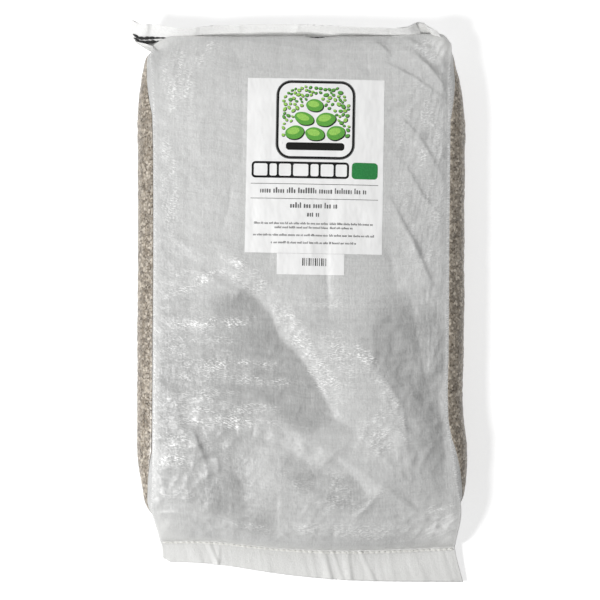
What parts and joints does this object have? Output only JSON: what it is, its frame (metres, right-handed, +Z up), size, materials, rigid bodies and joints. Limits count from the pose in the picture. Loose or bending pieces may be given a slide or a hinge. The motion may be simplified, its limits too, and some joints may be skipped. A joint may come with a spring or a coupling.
{
  "type": "bag of pumice",
  "caption": "Filled woven sack lying on its back, white front panel with a paper label, clear side gussets that show the stones, and flat sewn hems at head and foot.",
  "frame": {"origin": "middle of the flat underside, where the sack lies on the floor", "axes": "+Y along the sack towards its sewn head, +X to the right of the label, +Z up out of the labelled face"},
  "size_m": [0.5341, 0.8996, 0.0909],
  "materials": {
    "woven_fabric": "white woven polypropylene tape, coated, with a satin gloss",
    "clear_woven_fabric": "clear woven polypropylene over brown-grey pumice, satin gloss",
    "pumice": "rough brown-grey stone chips",
    "black_thread": "matte black sewing thread",
    "white_thread": "matte white sewing thread",
    "label_paper": "smooth white label paper",
    "black_print": "black print, satin",
    "green_print": "green print, satin",
    "grey_print": "dark grey print, satin"
  },
  "bodies": {
    "root": {"woven_sack": "woven_fabric", "gusset_left": "clear_woven_fabric", "gusset_right": "clear_woven_fabric", "pumice_fill": "pumice", "head_thread_inner": "black_thread", "head_thread_outer": "black_thread", "foot_thread": "white_thread", "main_label": "label_paper", "stock_label": "label_paper", "emblem_frame": "black_print", "emblem_ground": "black_print", "emblem_stone_1": "green_print", "emblem_stone_2": "green_print", "emblem_stone_3": "green_print", "emblem_stone_4": "green_print", "emblem_stone_5": "green_print", "emblem_stone_6": "green_print", "title_band": "black_print", "title_accent": "green_print", "rule_upper": "grey_print", "rule_lower": "grey_print", "text_line_1": "grey_print", "text_line_2": "grey_print", "text_line_3": "grey_print", "text_line_4": "grey_print", "text_line_5": "grey_print", "text_line_6": "grey_print", "text_line_7": "grey_print", "barcode": "black_print"}
  },
  "joints": []
}
